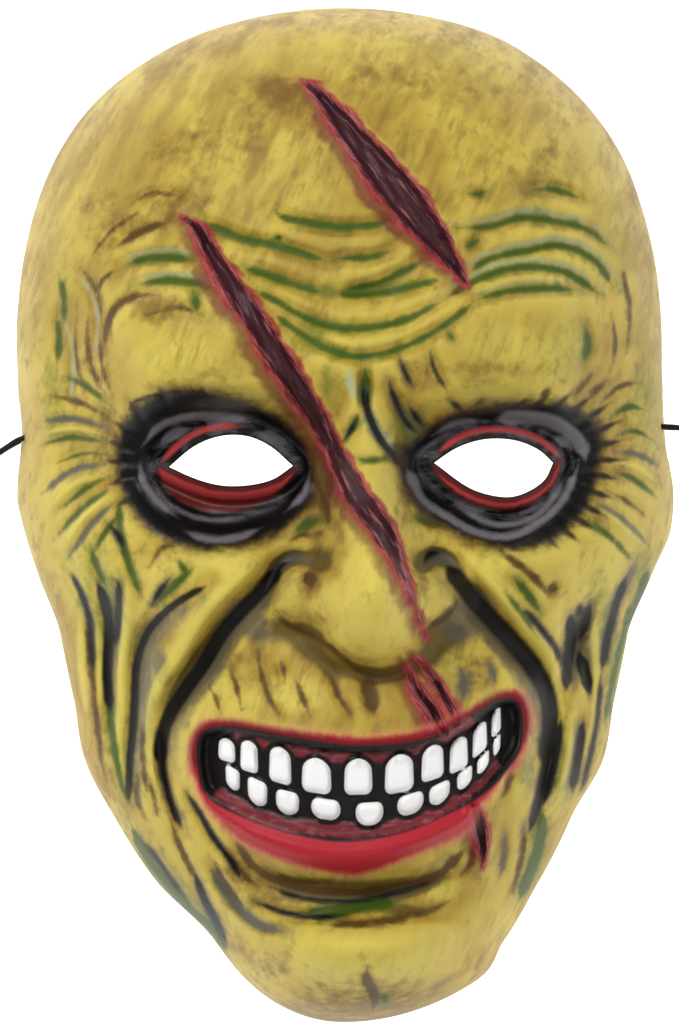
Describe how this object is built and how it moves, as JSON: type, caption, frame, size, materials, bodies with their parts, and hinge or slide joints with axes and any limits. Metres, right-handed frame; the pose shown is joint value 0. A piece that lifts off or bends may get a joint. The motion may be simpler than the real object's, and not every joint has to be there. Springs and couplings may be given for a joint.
{
  "type": "zombie mask",
  "caption": "Hollow moulded zombie face mask with cut eye holes, painted teeth, wounds and wrinkles, and a thin elastic from temple to temple.",
  "frame": {"origin": "middle of the mask's outline on the plane of its flat rim, on which it lies face up", "axes": "+Z out of the face, +Y towards the crown, +X towards the viewer's right"},
  "size_m": [0.1994, 0.284, 0.1075],
  "materials": {
    "painted_shell": "hand painted satin",
    "elastic": "braided"
  },
  "bodies": {
    "root": {"mask_shell": "painted_shell", "elastic_cord": "elastic", "knot_left": "elastic", "knot_right": "elastic"}
  },
  "joints": []
}
